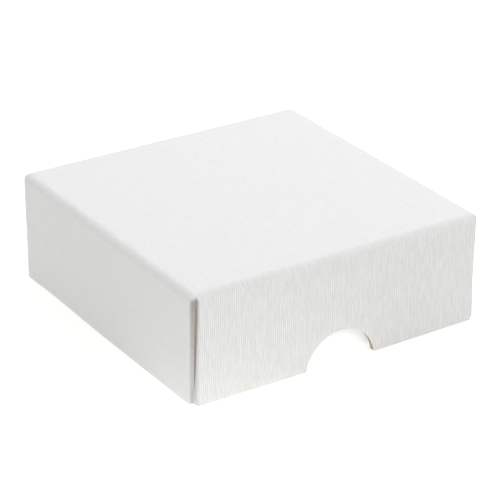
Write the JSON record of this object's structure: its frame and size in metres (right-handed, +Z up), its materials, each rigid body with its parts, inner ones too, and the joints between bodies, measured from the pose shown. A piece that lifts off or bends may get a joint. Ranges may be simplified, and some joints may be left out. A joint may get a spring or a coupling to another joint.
{
  "type": "jewelry gift box",
  "caption": "Square rigid gift box: lift-off lid in white linen-embossed paper with thumb notches, over a smooth white base that holds a removable slitted foam jewellery pad.",
  "frame": {"origin": "centre of the base's underside, on the surface the closed box stands on", "axes": "+Z up towards the lid's top, -Y towards the front notch, +X to the right seen from the front"},
  "size_m": [0.09, 0.09, 0.0315],
  "materials": {
    "linen_paper": "white cover paper with a fine embossed linen weave, matt",
    "smooth_paper": "smooth bright white cover paper, matt",
    "greyboard": "raw brown-grey recycled board, fibrous cut edge",
    "kraft_paper": "light unbleached kraft paper, matt",
    "liner_paper": "smooth white uncoated paper",
    "foam": "fine open-cell white foam, cut faces",
    "flock": "short-pile off-white flock"
  },
  "bodies": {
    "base": {"base_bottom_board": "greyboard", "base_front_board": "greyboard", "base_back_board": "greyboard", "base_left_board": "greyboard", "base_right_board": "greyboard", "base_cover": "smooth_paper", "base_liner": "liner_paper", "base_corner_stay_front_left": "kraft_paper", "base_corner_stay_front_right": "kraft_paper", "base_corner_stay_back_left": "kraft_paper", "base_corner_stay_back_right": "kraft_paper"},
    "pad": {"foam_pad": "foam", "flocked_top": "flock"},
    "lid": {"lid_top_board": "greyboard", "lid_front_board": "greyboard", "lid_back_board": "greyboard", "lid_left_board": "greyboard", "lid_right_board": "greyboard", "lid_cover": "linen_paper", "lid_liner": "liner_paper", "lid_corner_stay_front_left": "kraft_paper", "lid_corner_stay_front_right": "kraft_paper", "lid_corner_stay_back_left": "kraft_paper", "lid_corner_stay_back_right": "kraft_paper"}
  },
  "joints": [
    {"name": "lid_lift", "type": "slide", "parent": "base", "child": "lid", "axis": [0, 0, 1], "range_m": [0, 0.06]},
    {"name": "pad_lift", "type": "slide", "parent": "base", "child": "pad", "axis": [0, 0, 1], "range_m": [0, 0.0125]}
  ]
}
